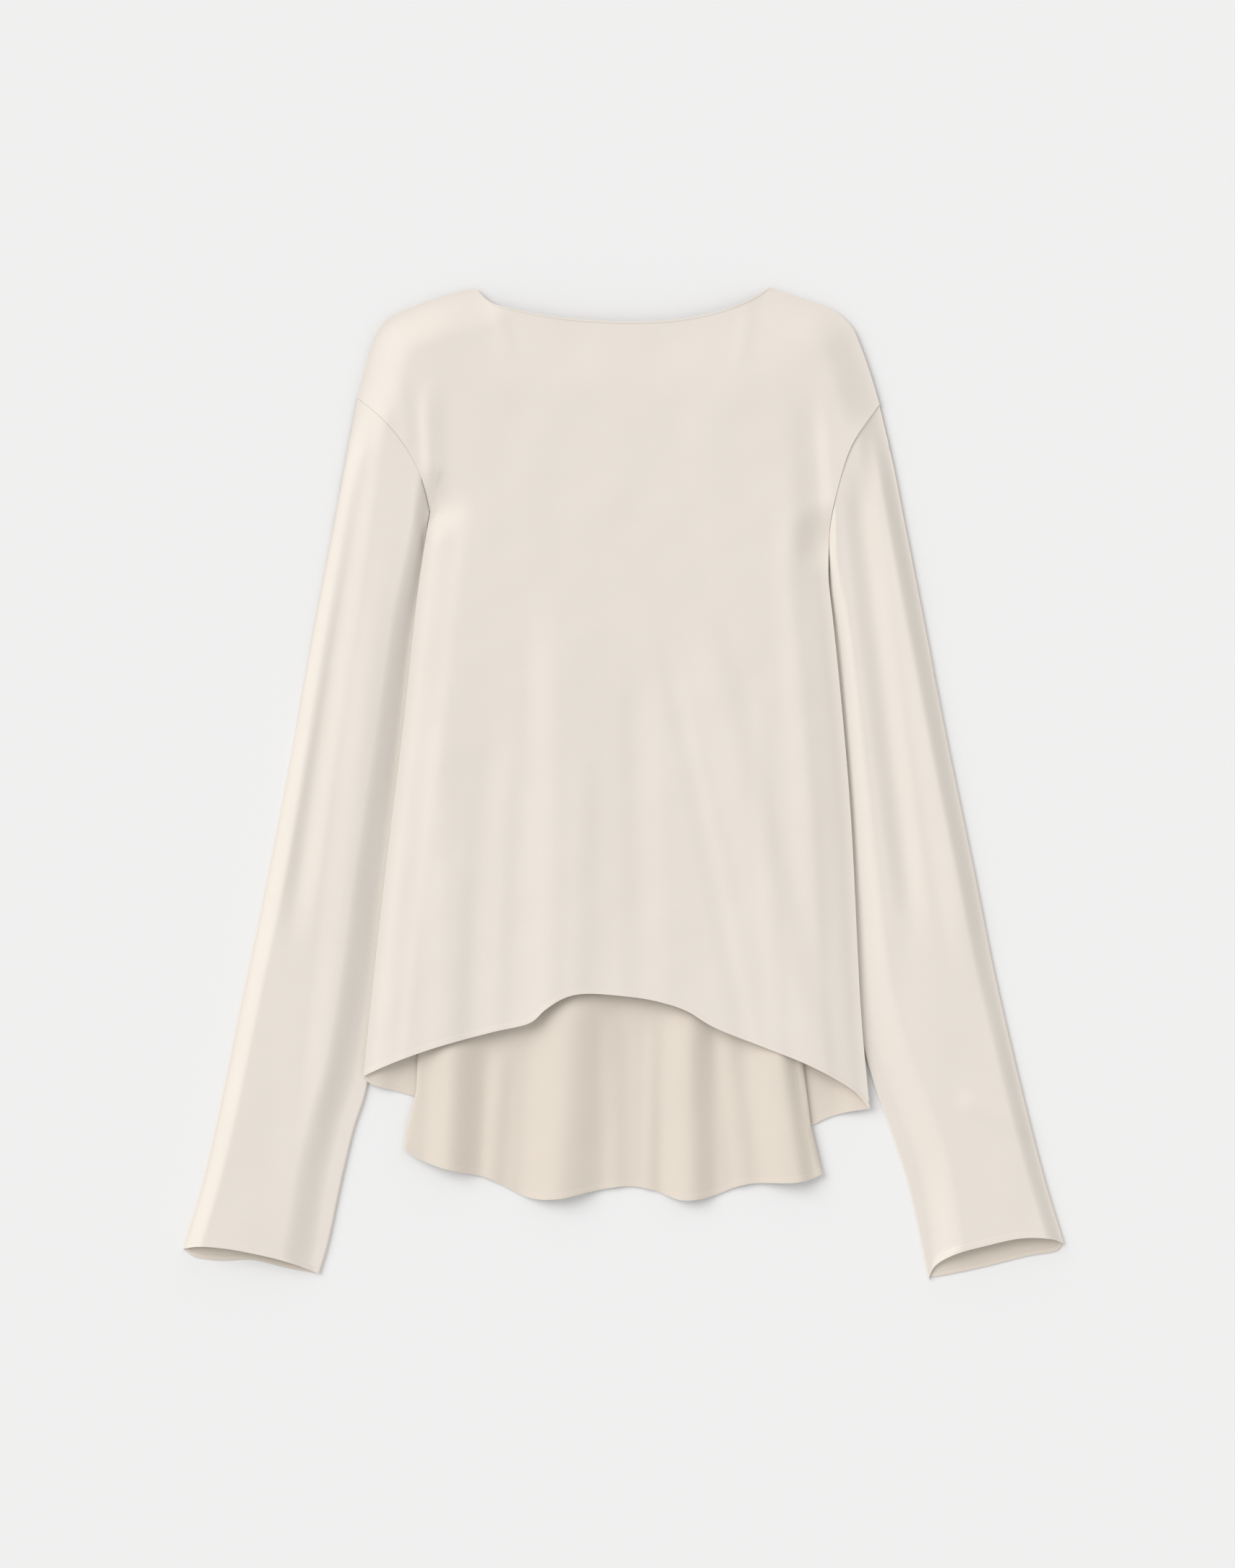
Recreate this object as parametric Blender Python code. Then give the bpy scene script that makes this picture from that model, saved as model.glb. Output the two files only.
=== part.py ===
"""A long-sleeved silk blouse laid flat: front, back and two sleeves, each one wall of cloth.

The garment lies on the floor at z = 0 with its front up, its neck towards +Y and its hem towards -Y. X runs
across the body and the origin is the middle of its box. Tables and sizes are in millimetres and are turned
into metres when a mesh is made. The sleeves lie on the floor beside the body, and the body's side edges lie
over the sleeves' inner edges. The back is longer than the front, so its tail shows the inside of the cloth,
with one pleat pressed flat at each side.
"""

from collections import namedtuple

import bmesh
import bpy
import numpy as np

MM = 0.001
CENTRE = (0.5, -0.6, 0.0)  # middle of the outlines below, moved to the origin
SILK = (0.80, 0.75, 0.68, 1.0)
SILK_ROUGHNESS = 0.55

# Cloth and the way it lies.
WALL = 1.2  # thickness of each layer, with the small waves of the cloth
SEAM_GAP = 0.4  # between two pieces that are sewn edge to edge, and between a sleeve's pressed layers
LAYER_GAP = 0.8  # between front and back where their edges are sewn one on the other
BODY_HOLLOW = 8.5  # space between front and back in the middle of the body
NECK_DROP = 3.5  # how much of that space is lost at the neck edge
NECK_REACH = 60.0
BODY_SLOPE = 32.0  # width over which the front comes down to its side and shoulder seams
SIDE_RISE = 3.3  # the body's side edges lie this high, on the sleeves
SIDE_SHELF = 9.0  # width that lies on the sleeve
SIDE_SLOPE = 18.0
RISE_START = 26.0  # length below the underarm in which the side edge climbs onto the sleeve
SLEEVE_LIFT = 7.6  # rise of the sleeve's upper layer above its flat edges
OUTER_SLOPE = 15.0
INNER_SLOPE = 26.0
INNER_SHELF = 9.0
SEAM_BLEND = 55.0  # length in which a sleeve takes over the height of the armhole
PLEAT_BEND = 0.9  # radius of a pleat's bends, at the middle of the wall
PLEAT_SETTLE = 38.0  # width in which the tail comes down to the floor beside a pleat

# Grid of each piece: rows as shares of the side seam or the sleeve, and counts of columns.
SIDE_ROWS = (0.0, 0.04, 0.08, 0.13, 0.18, 0.23, 0.28, 0.36, 0.45, 0.55, 0.66, 0.77, 0.86, 0.91, 0.955, 1.0)
SLEEVE_ROWS = (0.0, 0.035, 0.075, 0.14, 0.22, 0.31, 0.40, 0.49, 0.58, 0.67, 0.76, 0.85, 0.93, 1.0)
ARMHOLE_ROWS = 7
SHOULDER_COLUMNS = 5
NECK_COLUMNS = 16
BACK_SIDE_COLUMNS = 3
PLEAT_COLUMNS = (3, 1, 3)
TAIL_COLUMNS = 18
BEND_ANGLES = (0.25 * np.pi, 0.0, -0.25 * np.pi)

# Outlines, each a list of (x, y) that a smooth curve runs through.
NECK_LEFT = (-111.7, 375.6)
NECK_RIGHT = (111.7, 376.5)
FRONT_NECK = (NECK_LEFT, (-99.6, 364.4), (-77.6, 358.3), (-44.6, 352.8), (-0.6, 350.1), (40.7, 351.7),
              (76.5, 358.9), (99.6, 368.2), NECK_RIGHT)
BACK_NECK_BELOW = 4.0  # the back's neck edge lies this much below the front's
SHOULDER_LEFT = ((-201.9, 292.9), (-196.4, 313.2), (-189.8, 335.8), (-179.9, 351.2), (-152.4, 364.4),
                 (-132.6, 371.0), NECK_LEFT)
SHOULDER_RIGHT = ((195.3, 287.4), (188.7, 309.4), (181.0, 331.4), (173.8, 346.8), (158.4, 360.0),
                  (133.1, 368.8), NECK_RIGHT)
ARMHOLE_LEFT = ((-146.3, 206.0), (-152.4, 230.2), (-164.5, 254.4), (-181.0, 274.7), (-201.9, 292.9))
ARMHOLE_RIGHT = ((156.8, 182.9), (157.9, 198.3), (164.5, 228.5), (174.5, 257.0), (195.3, 287.4))
SIDE_LEFT = ((-196.9, -223.0), (-192.0, -174.6), (-179.9, -65.2), (-166.7, 42.6), (-155.1, 148.2),
             (-146.3, 206.0))
SIDE_RIGHT = ((187.6, -247.8), (184.8, -218.6), (181.0, -174.6), (173.2, -24.5), (166.7, 54.2),
              (159.5, 125.7), (156.4, 155.4), (156.8, 182.9))
FRONT_HEM = ((-196.9, -223.0), (-176.6, -213.7), (-143.6, -201.6), (-99.6, -189.5), (-69.3, -181.8),
             (-59.0, -172.6), (-44.6, -163.6), (-30.8, -160.3), (0.6, -162.0), (25.3, -165.8), (47.9, -173.0),
             (68.2, -185.1), (110.6, -202.1), (137.0, -212.6), (157.9, -223.0), (176.6, -235.1),
             (187.6, -247.8))
SLEEVE_LEFT_OUTER = ((-201.9, 292.9), (-211.8, 243.4), (-220.0, 199.4), (-237.1, 111.4), (-253.0, 23.4),
                     (-269.5, -64.6), (-288.8, -158.1), (-317.9, -295.6), (-335.0, -354.5))
SLEEVE_RIGHT_OUTER = ((195.3, 287.4), (205.7, 243.4), (214.5, 199.4), (232.1, 111.4), (249.2, 23.4),
                      (267.3, -64.6), (284.9, -152.6), (319.6, -295.6), (336.1, -350.6))
SLEEVE_LEFT_INNER = ((-146.3, 206.0), (-150.4, 184.0), (-151.5, 168.0), (-153.5, 145.0), (-157.2, 100.0),
                     (-166.6, 1.0), (-176.6, -86.6), (-184.3, -163.6), (-195.3, -235.1), (-204.1, -262.6),
                     (-213.4, -301.1), (-223.9, -350.6), (-230.5, -373.2))
SLEEVE_RIGHT_INNER = ((156.8, 182.9), (157.0, 160.0), (157.0, 143.0), (158.4, 125.0), (160.3, 100.0),
                      (163.5, 54.0), (167.5, -9.6), (173.2, -108.6), (181.0, -191.1), (190.9, -229.6),
                      (203.0, -262.6), (215.6, -301.1), (224.4, -339.6), (231.6, -376.5))
# Cuff edges run from the sleeve's outer edge to its inner one.
CUFF_LEFT_UPPER = ((-335.0, -354.5), (-322.9, -352.3), (-303.6, -353.4), (-283.8, -356.7), (-254.1, -363.8),
                   (-230.5, -373.2))
CUFF_LEFT_LOWER = ((-335.0, -354.5), (-328.4, -360.0), (-318.5, -362.2), (-303.6, -363.3), (-283.8, -362.7),
                   (-253.6, -369.3), (-230.5, -373.2))
CUFF_RIGHT_UPPER = ((336.1, -350.6), (327.2, -346.8), (304.2, -345.7), (276.7, -351.2), (249.7, -358.9),
                    (236.0, -368.0), (231.6, -376.5))
CUFF_RIGHT_LOWER = ((336.1, -350.6), (331.7, -355.6), (308.6, -360.0), (272.2, -368.8), (244.8, -374.3),
                    (231.6, -376.5))

# The pleat at each side of the tail, from where it starts under the front down to the hem: its outer edge,
# the cloth in each of its two bends, the cloth that lies folded back between them, and its turn, which is 0
# where the cloth is flat and 1 where it is folded right back.
FULL_BEND = np.pi * PLEAT_BEND
Pleat = namedtuple("Pleat", "y edge_x bend overlap turn")
PLEAT_LEFT = (Pleat(-40.0, -128.0, 10.0, 9.0, 0.0), Pleat(-108.0, -151.0, FULL_BEND, 0.8, 0.0),
              Pleat(-130.0, -152.0, FULL_BEND, 0.8, 1.0), Pleat(-208.0, -156.2, FULL_BEND, 10.0, 1.0),
              Pleat(-234.0, -157.0, FULL_BEND, 15.0, 1.0), Pleat(-264.0, -165.0, FULL_BEND, 20.0, 1.0),
              Pleat(-290.0, -169.0, FULL_BEND, 22.0, 1.0))
PLEAT_RIGHT = (Pleat(-40.0, 112.0, 10.0, 9.0, 0.0), Pleat(-108.0, 132.0, FULL_BEND, 0.8, 0.0),
               Pleat(-130.0, 133.0, FULL_BEND, 0.8, 1.0), Pleat(-213.0, 137.5, FULL_BEND, 10.0, 1.0),
               Pleat(-261.5, 143.5, FULL_BEND, 18.0, 1.0), Pleat(-298.0, 152.3, FULL_BEND, 22.0, 1.0))

# The back's hem, from its left corner to its right one. Layer "side" lies on the floor at the sides, "under"
# is folded back inside a pleat and "tail" is on top.
HemPoint = namedtuple("HemPoint", "x y layer")
BACK_HEM = (HemPoint(-196.9, -223.4, "side"), HemPoint(-193.1, -228.5, "side"), HemPoint(-184.3, -231.8, "side"),
            HemPoint(-160.1, -238.4, "side"), HemPoint(-147.0, -243.5, "side"), HemPoint(-147.0, -259.0, "under"),
            HemPoint(-159.0, -271.5, "under"), HemPoint(-158.4, -284.6, "tail"), HemPoint(-143.0, -291.2, "tail"),
            HemPoint(-124.9, -296.0, "tail"), HemPoint(-102.9, -301.1, "tail"), HemPoint(-71.0, -316.0, "tail"),
            HemPoint(-50.0, -316.6, "tail"), HemPoint(-22.6, -311.0, "tail"), HemPoint(5.0, -307.4, "tail"),
            HemPoint(23.7, -310.5, "tail"), HemPoint(44.0, -317.6, "tail"), HemPoint(66.0, -315.4, "tail"),
            HemPoint(93.0, -306.1, "tail"), HemPoint(132.6, -303.9, "tail"), HemPoint(148.0, -299.8, "tail"),
            HemPoint(140.0, -290.0, "under"), HemPoint(130.0, -277.0, "under"), HemPoint(132.0, -266.0, "side"),
            HemPoint(143.0, -261.5, "side"), HemPoint(155.7, -255.5, "side"), HemPoint(170.0, -251.1, "side"),
            HemPoint(187.6, -248.2, "side"))

# Soft ridges (height above 0) and troughs (below 0): a straight run with its width to each side.
Fold = namedtuple("Fold", "x_start y_start x_end y_end left right height")
FRONT_FOLDS = (Fold(-50.0, 120.0, -52.0, -165.0, 24.0, 46.0, 4.2),
               Fold(62.0, 120.0, 140.0, -180.0, 26.0, 20.0, 2.6),
               Fold(-137.0, 60.0, -132.0, -210.0, 22.0, 24.0, 2.6),
               Fold(-100.0, 40.0, -116.0, -200.0, 16.0, 20.0, -1.8),
               Fold(10.0, 90.0, 14.0, -168.0, 18.0, 22.0, -2.0),
               Fold(-145.0, 300.0, -142.0, 190.0, 12.0, 12.0, 2.2),
               Fold(143.0, 290.0, 153.0, 150.0, 22.0, 12.0, -3.6),
               Fold(128.0, 230.0, 146.0, -80.0, 20.0, 24.0, 2.6))
TAIL_FOLDS = (Fold(-127.0, -190.0, -131.0, -296.0, 22.0, 26.0, 5.0),
              Fold(-38.0, -150.0, -48.0, -317.0, 34.0, 38.0, 6.5),
              Fold(50.0, -170.0, 52.0, -318.0, 26.0, 22.0, 5.0),
              Fold(116.0, -190.0, 134.0, -304.0, 30.0, 14.0, 4.2))
LEFT_SLEEVE_FOLDS = (Fold(-208.0, 262.0, -268.0, -60.0, 10.0, 14.0, 2.4),
                     Fold(-196.0, 262.0, -243.0, -60.0, 13.0, 16.0, -3.0),
                     Fold(-184.0, 150.0, -226.0, -220.0, 18.0, 18.0, 1.6))
RIGHT_SLEEVE_FOLDS = (Fold(177.0, 235.0, 214.0, -60.0, 15.0, 15.0, -3.0),
                      Fold(204.0, 225.0, 256.0, -90.0, 18.0, 20.0, 2.2),
                      Fold(258.0, -240.0, 302.0, -262.0, 12.0, 12.0, 1.4))


def smooth(value):
    """0 to 1 with level ends."""
    part = np.clip(value, 0.0, 1.0)
    return part * part * (3.0 - 2.0 * part)


class Curve:
    """A smooth curve through a few points, read at shares of its length."""

    STEPS = 24

    def __init__(self, points):
        given = np.array(points, float)
        ends = np.vstack([2 * given[0] - given[1], given, 2 * given[-1] - given[-2]])
        runs = [self.run(*ends[i:i + 4]) for i in range(len(given) - 1)]
        self.points = np.vstack([*runs, given[-1:]])
        steps = np.linalg.norm(np.diff(self.points, axis=0), axis=1)
        self.reach = np.concatenate([[0.0], np.cumsum(steps)])
        self.length = self.reach[-1]
        self.shares = self.reach / self.length

    def run(self, before, start, end, after):
        """One centripetal Catmull-Rom run from start to end, without its last point."""
        knots = np.cumsum([0.0] + [np.sqrt(np.linalg.norm(b - a)) for a, b in
                                   ((before, start), (start, end), (end, after))])
        time = np.linspace(knots[1], knots[2], self.STEPS, endpoint=False)[:, None]

        def mix(a, b, i, j):
            return ((knots[j] - time) * a + (time - knots[i]) * b) / (knots[j] - knots[i])

        first = mix(before, start, 0, 1)
        middle = mix(start, end, 1, 2)
        last = mix(end, after, 2, 3)
        return mix(mix(first, middle, 0, 2), mix(middle, last, 1, 3), 1, 2)

    def at(self, share):
        """Points at one or many shares of the length."""
        return np.stack([np.interp(share, self.shares, self.points[:, k]) for k in (0, 1)], -1)

    def x_at(self, y):
        """The curve's x at a height y; the curve must climb or fall all the way."""
        order = np.argsort(self.points[:, 1])
        return np.interp(y, self.points[order, 1], self.points[order, 0])

    def distance(self, plan):
        """Distance in plan from each point to the curve."""
        gaps = plan[..., None, :] - self.points[::4]
        return np.linalg.norm(gaps, axis=-1).min(-1)


NECK = Curve(FRONT_NECK)
SHOULDERS = {-1: Curve(SHOULDER_LEFT), 1: Curve(SHOULDER_RIGHT)}
ARMHOLES = {-1: Curve(ARMHOLE_LEFT), 1: Curve(ARMHOLE_RIGHT)}
SIDES = {-1: Curve(SIDE_LEFT), 1: Curve(SIDE_RIGHT)}
UNDERARM_Y = {-1: ARMHOLE_LEFT[0][1], 1: ARMHOLE_RIGHT[0][1]}
PLEATS = {-1: PLEAT_LEFT, 1: PLEAT_RIGHT}


# ---------------------------------------------------------------- heights

def fold_height(plan, folds):
    """Sum of the ridges and troughs at each point of the plan."""
    total = np.zeros(plan.shape[:-1])
    for fold in folds:
        start = np.array([fold.x_start, fold.y_start])
        run = np.array([fold.x_end, fold.y_end]) - start
        along = (plan - start) @ run / (run @ run)
        across = (plan[..., 0] - start[0]) * -run[1] + (plan[..., 1] - start[1]) * run[0]
        across = across / np.linalg.norm(run)
        width = np.where(across < 0, fold.left, fold.right)
        profile = smooth(1.0 - np.abs(across) / width)
        fade = smooth((along + 0.12) / 0.3) * smooth((1.25 - along) / 0.25)
        total += fold.height * profile * fade
    return total


def side_rise(plan):
    """Height of the body's edges where they lie on the sleeves."""
    rise = np.zeros(plan.shape[:-1])
    for side, edge in SIDES.items():
        inside = side * (edge.x_at(plan[..., 1]) - plan[..., 0])
        shelf = 1.0 - smooth((inside - SIDE_SHELF) / SIDE_SLOPE)
        rise += SIDE_RISE * shelf * smooth((UNDERARM_Y[side] - plan[..., 1]) / RISE_START)
    return rise


def front_underside(plan):
    """Height of the front's lower face."""
    seams = [curve.distance(plan) for curve in (*SHOULDERS.values(), *SIDES.values())]
    open_share = smooth(np.min(seams, axis=0) / BODY_SLOPE)
    hollow = BODY_HOLLOW - NECK_DROP * (1.0 - smooth(NECK.distance(plan) / NECK_REACH))
    return WALL + side_rise(plan) + LAYER_GAP + open_share * (hollow + fold_height(plan, FRONT_FOLDS))


# ---------------------------------------------------------------- plans

def coons(bottom, top, left, right):
    """A grid of plan points between four edges, rows from bottom to top and columns from left to right."""
    rows = np.linspace(0.0, 1.0, len(left))[:, None, None]
    columns = np.linspace(0.0, 1.0, len(bottom))[None, :, None]
    between_sides = (1 - columns) * left[:, None] + columns * right[:, None]
    between_ends = (1 - rows) * bottom[None] + rows * top[None]
    corners = ((1 - rows) * ((1 - columns) * bottom[0] + columns * bottom[-1])
               + rows * ((1 - columns) * top[0] + columns * top[-1]))
    return between_sides + between_ends - corners


def pinned(points, start, end):
    """The points with their ends moved to start and end, and the rest moved along with them."""
    share = np.linspace(0.0, 1.0, len(points))[:, None]
    return points + (1 - share) * (start - points[0]) + share * (end - points[-1])


def armhole_edge(side, outwards):
    """Points of an armhole from the underarm to the shoulder, moved towards the sleeve by outwards."""
    points = ARMHOLES[side].at(np.linspace(0.0, 1.0, ARMHOLE_ROWS + 1))
    run = np.gradient(points, axis=0)
    run /= np.linalg.norm(run, axis=1)[:, None]
    return points + side * outwards * np.stack([run[:, 1], -run[:, 0]], -1)


def side_and_armhole(side):
    """One edge of a body panel, from its hem corner up to the shoulder."""
    lower = SIDES[side].at(np.array(SIDE_ROWS))
    return np.vstack([lower, armhole_edge(side, -SEAM_GAP / 2)[1:]])


def shoulders_and_neck(neck_below, left_end, right_end):
    """The top edge of a body panel, from the left shoulder to the right one."""
    shares = np.linspace(0.0, 1.0, SHOULDER_COLUMNS + 1)
    neck = NECK.at(np.linspace(0.0, 1.0, NECK_COLUMNS + 1))
    neck[:, 1] -= neck_below * smooth((NECK_RIGHT[0] - np.abs(neck[:, 0])) / 12.0)
    left = SHOULDERS[-1].at(shares)
    right = SHOULDERS[1].at(shares)
    left = pinned(left, left_end, left[-1])
    right = pinned(right, right_end, right[-1])
    return np.vstack([left[:-1], neck, right[-2::-1]])


def front_plan():
    left = side_and_armhole(-1)
    right = side_and_armhole(1)
    top = shoulders_and_neck(0.0, left[-1], right[-1])
    bottom = pinned(Curve(FRONT_HEM).at(np.linspace(0.0, 1.0, len(top))), left[0], right[0])
    return coons(bottom, top, left, right)


# ---------------------------------------------------------------- pleats

def pleat_values(side, y):
    """Edge, bend, overlap and turn angle of a pleat at each height, with the edge measured outwards."""
    table = sorted(PLEATS[side])
    heights = [row.y for row in table]
    edge, bend, overlap, turn = (np.interp(y, heights, [getattr(row, name) for row in table])
                                 for name in ("edge_x", "bend", "overlap", "turn"))
    return side * edge, bend, overlap, np.maximum(np.pi * smooth(turn), 1e-3)


def pleat_shift(side, y):
    """How much further out the flat cloth's side lies than the pleated one's."""
    _, bend, overlap, turn = pleat_values(side, y)
    radius = bend / turn
    return 2 * bend + overlap - 2 * radius * np.sin(turn) - overlap * np.cos(turn)


def pleated(side, cloth, y):
    """Where the flat cloth goes: its distance outwards, its height and its slope, all at the wall's middle.

    Outwards from the tail the cloth turns down and back at the pleat's outer edge, runs back under the tail,
    and turns outwards again on the floor. The tail settles on the floor beside the pleat.
    """
    edge, bend, overlap, turn = pleat_values(side, y)
    radius = bend / turn
    start = edge - bend / 2
    travel = np.maximum(cloth - start, 0.0)
    first = turn * np.minimum(travel, bend) / bend
    middle = np.clip(travel - bend, 0.0, overlap)
    second = turn * np.clip(travel - bend - overlap, 0.0, bend) / bend
    beyond = np.maximum(travel - 2 * bend - overlap, 0.0)
    back = turn - second
    outwards = (np.minimum(cloth, start) + radius * np.sin(first) + middle * np.cos(turn)
                + radius * (np.sin(turn) - np.sin(back)) + beyond)
    drop = radius * (1 - np.cos(first)) + middle * np.sin(turn) + radius * (np.cos(back) - np.cos(turn))
    whole = 2 * radius * (1 - np.cos(turn)) + overlap * np.sin(turn)
    on_tail = cloth <= start
    settled = smooth((start - overlap - PLEAT_BEND - 2.0 - cloth) / PLEAT_SETTLE)
    height = np.where(on_tail, whole * (1 - settled), whole - drop)
    slope = np.where(travel < bend, -first, -back)
    return outwards, height, slope, on_tail


def on_flat_cloth(point):
    """A hem point moved to where it is on the flat cloth."""
    side = np.sign(point.x)
    if point.layer == "side":
        return point.x + side * pleat_shift(side, point.y), point.y
    if point.layer == "under":
        edge = pleat_values(side, point.y)[0]
        return 2 * side * edge - point.x, point.y
    return point.x, point.y


def pleat_knots(side, y):
    """Cloth positions of a pleat's bends and ends, measured outwards."""
    edge, bend, overlap, _ = pleat_values(side, y)
    start = edge - bend / 2
    return [start, start + bend, start + bend + overlap, start + 2 * bend + overlap]


def spread(row):
    """One row of the flat back, with its columns gathered at the bends of the pleats."""
    left = [-knot for knot in reversed(pleat_knots(-1, row[:, 1]))]
    right = pleat_knots(1, row[:, 1])
    places = np.arange(len(row), dtype=float)
    crossings = [np.interp(0.0, row[:, 0] - knot, places) for knot in left + right]
    knots = np.concatenate([[0.0], crossings, [len(row) - 1.0]])
    counts = [BACK_SIDE_COLUMNS, *PLEAT_COLUMNS, TAIL_COLUMNS, *PLEAT_COLUMNS, BACK_SIDE_COLUMNS]
    stops = [np.linspace(a, b, count, endpoint=False) for a, b, count in zip(knots, knots[1:], counts)]
    stops = np.concatenate([*stops, knots[-1:]])
    return np.stack([np.interp(stops, places, row[:, k]) for k in (0, 1)], -1)


def back_plan():
    """The back on the flat cloth, without its pleats."""
    left = side_and_armhole(-1)
    right = side_and_armhole(1)
    top = shoulders_and_neck(BACK_NECK_BELOW, left[-1], right[-1])
    left[:, 0] -= pleat_shift(-1, left[:, 1])
    right[:, 0] += pleat_shift(1, right[:, 1])
    fine = np.linspace(0.0, 1.0, 12 * len(top) + 1)
    bottom = pinned(Curve([on_flat_cloth(point) for point in BACK_HEM]).at(fine), left[0], right[0])
    corners = np.linspace(0.0, 1.0, len(top))
    top = np.stack([np.interp(fine, corners, top[:, k]) for k in (0, 1)], -1)
    return np.array([spread(row) for row in coons(bottom, top, left, right)])


# ---------------------------------------------------------------- meshes

def as_mesh(name, points, faces):
    mesh = bpy.data.meshes.new(name)
    mesh.from_pydata(((np.asarray(points) - CENTRE) * MM).tolist(), [], faces)
    mesh.validate()
    work = bmesh.new()
    work.from_mesh(mesh)
    bmesh.ops.recalc_face_normals(work, faces=work.faces)
    work.to_mesh(mesh)
    work.free()
    mesh.shade_smooth()
    mesh.set_sharp_from_angle(angle=0.9)
    piece = bpy.data.objects.new(name, mesh)
    bpy.context.scene.collection.objects.link(piece)
    piece.data.materials.append(silk(name))
    return piece


def silk(name):
    material = bpy.data.materials.new(f"silk_{name}")
    material.use_nodes = True
    shader = material.node_tree.nodes["Principled BSDF"]
    shader.inputs["Base Color"].default_value = SILK
    shader.inputs["Roughness"].default_value = SILK_ROUGHNESS
    shader.inputs["Metallic"].default_value = 0.0
    return material


def wall(name, over, under, ring=False):
    """One closed wall between two grids of points; ring joins each row's last point to its first."""
    rows, columns = over.shape[:2]
    points = np.vstack([over.reshape(-1, 3), under.reshape(-1, 3)])
    count = rows * columns
    spans = columns if ring else columns - 1
    faces = []
    for row in range(rows - 1):
        for column in range(spans):
            after = (column + 1) % columns
            corners = [row * columns + column, row * columns + after,
                       (row + 1) * columns + after, (row + 1) * columns + column]
            faces.append(corners)
            faces.append([corner + count for corner in reversed(corners)])
    rims = [[(row * columns + k, row * columns + (k + 1) % columns) for k in range(spans)] for row in (0, rows - 1)]
    if not ring:
        rims += [[(k * columns + column, (k + 1) * columns + column) for k in range(rows - 1)]
                 for column in (0, columns - 1)]
    for rim in rims:
        faces += [[a, b, b + count, a + count] for a, b in rim]
    return as_mesh(name, points, faces)


def sheet(name, plan, underside):
    """A wall on a plan grid, from its underside up."""
    under = np.dstack([plan, underside])
    over = under + [0.0, 0.0, WALL]
    return wall(name, over, under)


# ---------------------------------------------------------------- pieces

def front():
    plan = front_plan()
    return sheet("front", plan, front_underside(plan))


def back():
    cloth = back_plan()
    side = np.where(cloth[..., 0] < 0, -1, 1)
    paths = [pleated(k, k * cloth[..., 0], cloth[..., 1]) for k in (-1, 1)]
    outwards, height, slope, on_tail = (np.where(side < 0, one, other) for one, other in zip(*paths))
    plan = np.dstack([side * outwards, cloth[..., 1]])
    rise = side_rise(plan) + np.where(on_tail, np.maximum(fold_height(plan, TAIL_FOLDS), 0.0), 0.0)
    middle = np.dstack([plan, WALL / 2 + height + rise])
    normal = np.dstack([-side * np.sin(slope), np.zeros_like(slope), np.cos(slope)])
    return wall("back", middle + normal * WALL / 2, middle - normal * WALL / 2)


def sleeve_edges(side):
    """The four edges of a sleeve's plan, armhole first, with the cuff's upper and lower edges."""
    bend = WALL + SEAM_GAP / 2
    outer = Curve(SLEEVE_LEFT_OUTER if side < 0 else SLEEVE_RIGHT_OUTER).at(np.array(SLEEVE_ROWS))
    inner = Curve(SLEEVE_LEFT_INNER if side < 0 else SLEEVE_RIGHT_INNER).at(np.array(SLEEVE_ROWS))
    outer[:, 0] -= side * bend
    inner[:, 0] += side * bend
    armhole = armhole_edge(side, SEAM_GAP / 2)[::-1]
    halves = (armhole[1:] + armhole[:-1]) / 2
    armhole = np.vstack([np.dstack([armhole[:-1], halves]).transpose(0, 2, 1).reshape(-1, 2), armhole[-1:]])
    for end, after in ((0, 1), (-1, -2)):
        run = armhole[after] - armhole[end]
        armhole[end] += run / np.linalg.norm(run) * (bend + SEAM_GAP)
    cuffs = (CUFF_LEFT_UPPER, CUFF_LEFT_LOWER) if side < 0 else (CUFF_RIGHT_UPPER, CUFF_RIGHT_LOWER)
    shares = np.linspace(0.0, 1.0, len(armhole))
    upper, lower = (pinned(Curve(cuff).at(shares), outer[-1], inner[-1]) for cuff in cuffs)
    return armhole, pinned(outer, armhole[0], outer[-1]), pinned(inner, armhole[-1], inner[-1]), upper, lower


def sleeve_lift(side, plan):
    """Rise of the upper layer above the height of the sleeve's flat edges."""
    width = np.linalg.norm(plan - plan[:, :1], axis=-1)
    from_inner = width[:, -1:] - width
    along = np.linalg.norm(plan - plan[:1], axis=-1)
    share = np.linspace(0.0, 1.0, len(plan))[:, None] * np.ones_like(width)
    shelf = INNER_SHELF * smooth(np.interp(share, (0.0, 0.2, 0.8, 1.0), (0.0, 1.0, 1.0, 0.25)))
    profile = smooth(width / OUTER_SLOPE) * smooth((from_inner - shelf) / INNER_SLOPE)
    folds = fold_height(plan, LEFT_SLEEVE_FOLDS if side < 0 else RIGHT_SLEEVE_FOLDS)
    free = profile * (SLEEVE_LIFT + folds)
    seam_points = plan[0, ::2]
    seam = np.interp(np.arange(plan.shape[1]) / 2, np.arange(len(seam_points)), front_underside(seam_points))
    at_seam = seam - (WALL + LAYER_GAP)
    at_seam[[0, -1]] = 0.0
    taken_over = smooth(along / SEAM_BLEND)
    return (1 - taken_over) * at_seam + taken_over * free


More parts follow.
